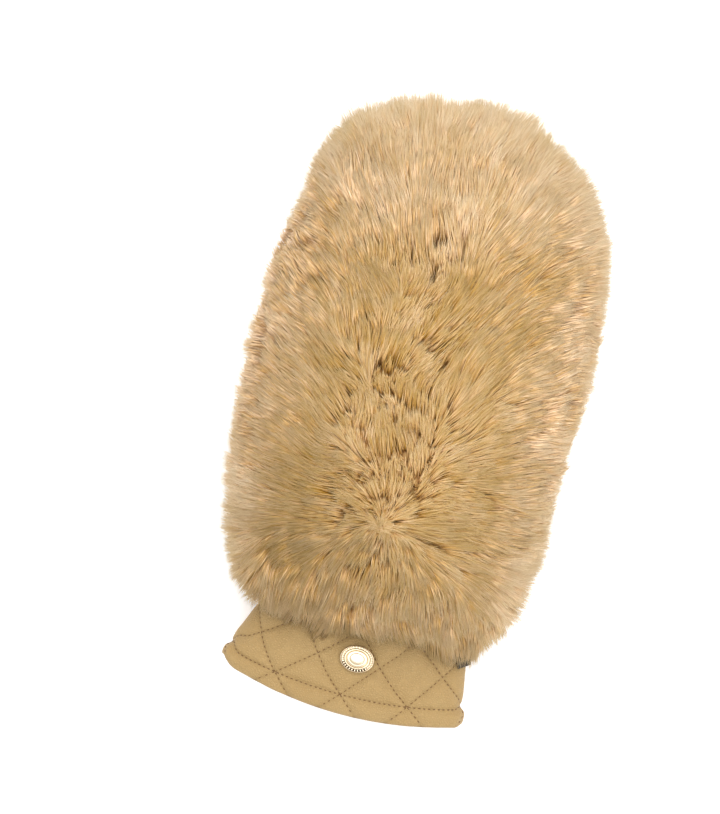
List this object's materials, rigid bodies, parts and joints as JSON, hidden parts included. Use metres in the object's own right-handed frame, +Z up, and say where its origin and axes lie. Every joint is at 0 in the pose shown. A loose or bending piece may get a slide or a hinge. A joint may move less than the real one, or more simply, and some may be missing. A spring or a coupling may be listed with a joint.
{
  "type": "fur-backed leather mitten",
  "caption": "Hollow left-hand winter mitten lying palm down: deep-pile fur back, smooth leather palm and thumb, quilted leather cuff with an oval metal badge and a side tab.",
  "frame": {"origin": "on the surface that the mitten rests on, under the middle of its bounding box", "axes": "+Y from the hem to the fingertips, +X to the thumb side, +Z up out of the fur back"},
  "size_m": [0.15, 0.2676, 0.0723],
  "materials": {
    "leather": "matte, fine pebble grain",
    "pile": "soft deep pile",
    "backing": "knitted backing under the pile",
    "badge_metal": "polished, pale gold plating",
    "label_tape": "woven tape"
  },
  "bodies": {
    "root": {"fur": "pile", "fur_backing_wrist": "backing", "fur_backing_hand": "backing", "fur_backing_tip": "backing", "edge_band": "leather", "palm": "leather", "thumb": "leather", "cuff": "leather", "badge": "badge_metal", "side_label": "label_tape"}
  },
  "joints": []
}
